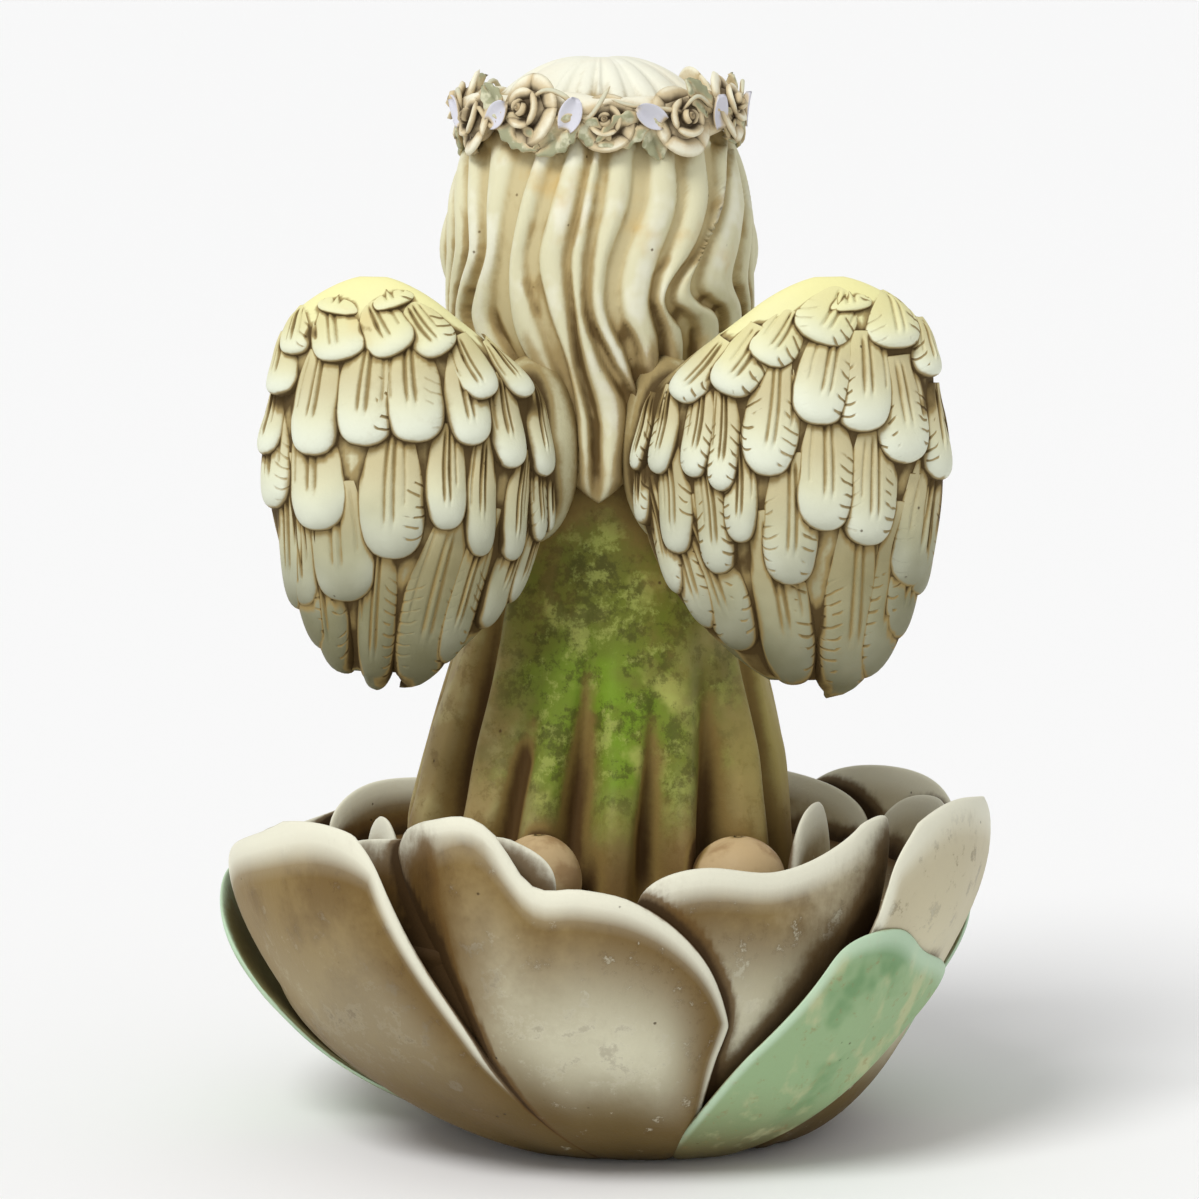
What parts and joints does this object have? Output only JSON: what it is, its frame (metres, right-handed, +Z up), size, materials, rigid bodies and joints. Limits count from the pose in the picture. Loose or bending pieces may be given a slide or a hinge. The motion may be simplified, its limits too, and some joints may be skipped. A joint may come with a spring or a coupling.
{
  "type": "kneeling angel statue in a blossom",
  "caption": "Small winged angel statue kneeling with hands together in an open blossom, rose wreath on long hair, cast in one piece with antiqued paint.",
  "frame": {"origin": "on the flat underside, below the figure's upright axis", "axes": "+Z up, +Y out of the figure's back, +X to the figure's left; the face and the joined hands look along -Y"},
  "size_m": [0.2017, 0.1956, 0.2781],
  "materials": {
    "painted_resin": "cast resin, matt ivory paint with brown antiquing in the hollows, green, pink-brown and yellow washes"
  },
  "bodies": {
    "root": {"angel_in_blossom": "painted_resin"}
  },
  "joints": []
}
